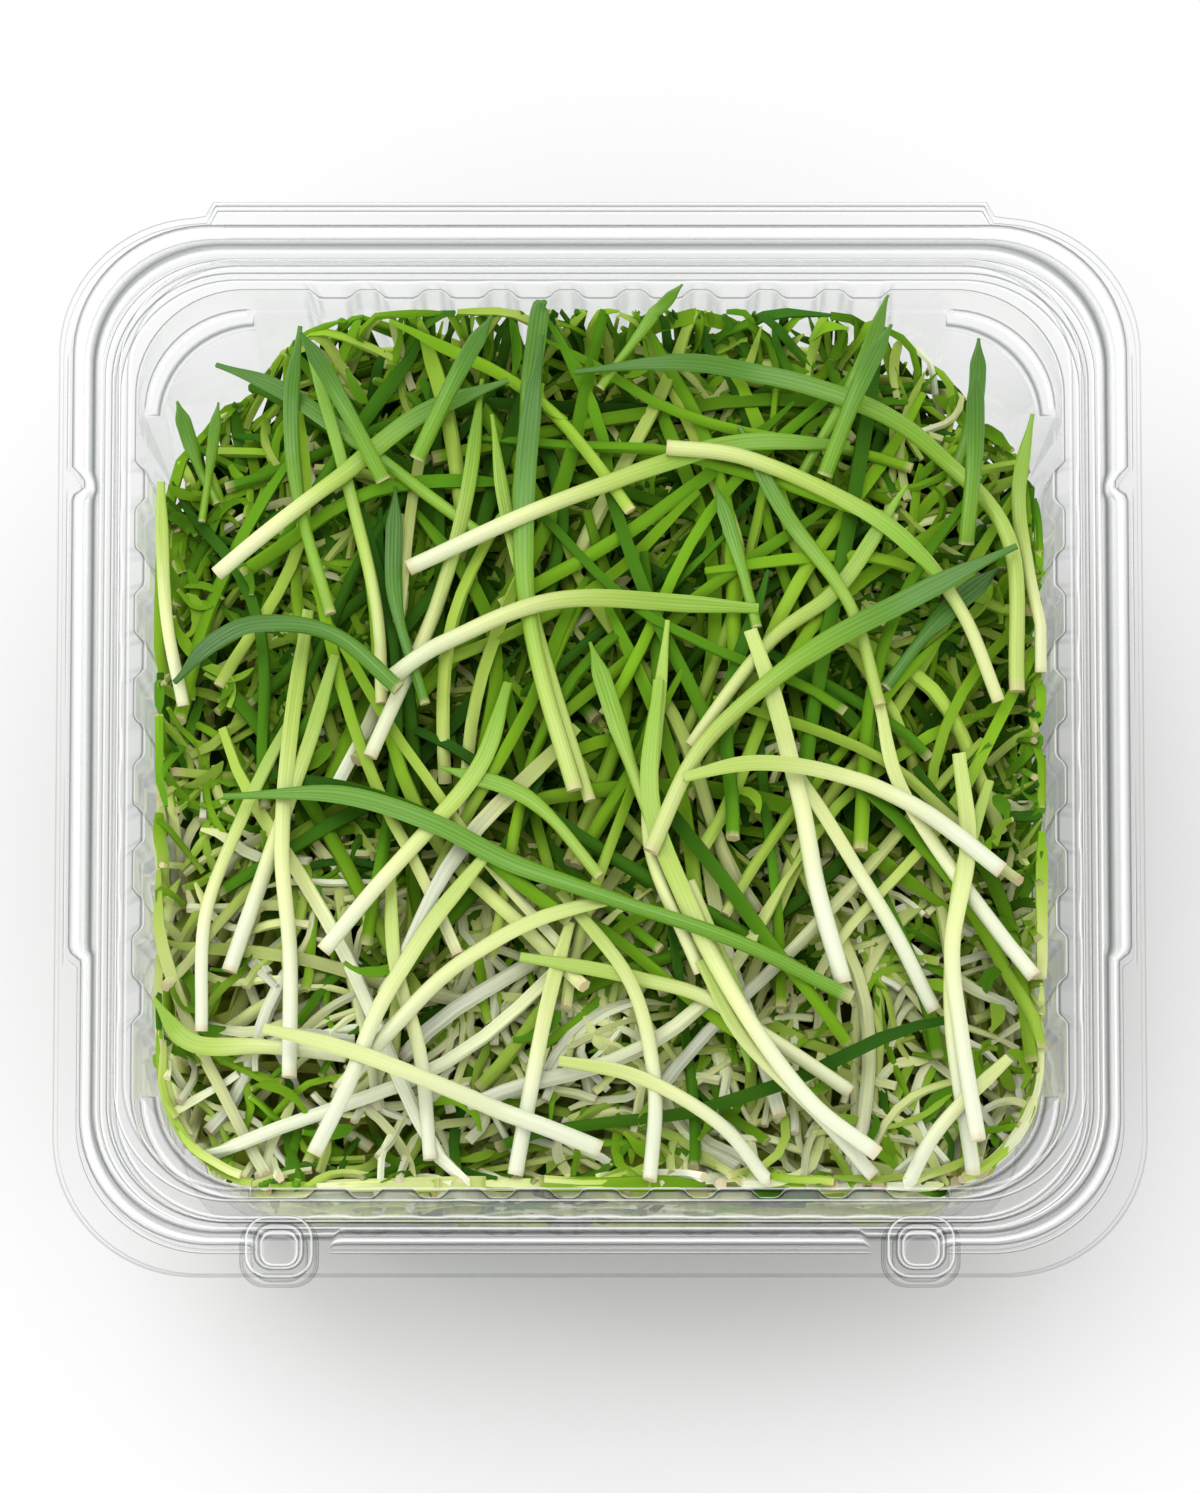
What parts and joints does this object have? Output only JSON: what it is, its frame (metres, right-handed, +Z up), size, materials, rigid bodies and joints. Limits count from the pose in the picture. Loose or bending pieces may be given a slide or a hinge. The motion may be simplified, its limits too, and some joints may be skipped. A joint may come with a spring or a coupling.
{
  "type": "tray of cut microgreens",
  "caption": "Square clear hinged clamshell tray filled with a tangle of cut leek microgreens, pale stems in front and green leaves behind.",
  "frame": {"origin": "centre of the bounding box at the surface that the tray stands on", "axes": "+Z up, -Y towards the snaps at the front, +Y towards the hinge"},
  "size_m": [0.13, 0.1344, 0.0552],
  "materials": {
    "clear_plastic": "clear gloss",
    "pale_stem": "moist satin",
    "leaf_green": "satin"
  },
  "bodies": {
    "base": {"green_leaf_bed": "leaf_green", "leaf_01": "leaf_green", "leaf_04": "leaf_green", "leaf_05": "leaf_green", "leaf_12": "leaf_green", "leaf_13": "leaf_green", "leaf_16": "leaf_green", "leaf_18": "leaf_green", "leaf_19": "leaf_green", "leaf_20": "leaf_green", "leaf_21": "leaf_green", "leaf_22": "leaf_green", "pale_stem_bed": "pale_stem", "stem_02": "pale_stem", "stem_03": "pale_stem", "stem_06": "pale_stem", "stem_07": "pale_stem", "stem_08": "pale_stem", "stem_09": "pale_stem", "stem_10": "pale_stem", "stem_11": "pale_stem", "stem_14": "pale_stem", "stem_15": "pale_stem", "stem_17": "pale_stem", "tray": "clear_plastic"},
    "lid": {"lid": "clear_plastic"}
  },
  "joints": [
    {"name": "lid_hinge", "type": "hinge", "parent": "base", "child": "lid", "pos_m": [0, 0.06735, 0.0464], "axis": [-1, 0, 0], "range_deg": [0, 180]}
  ]
}
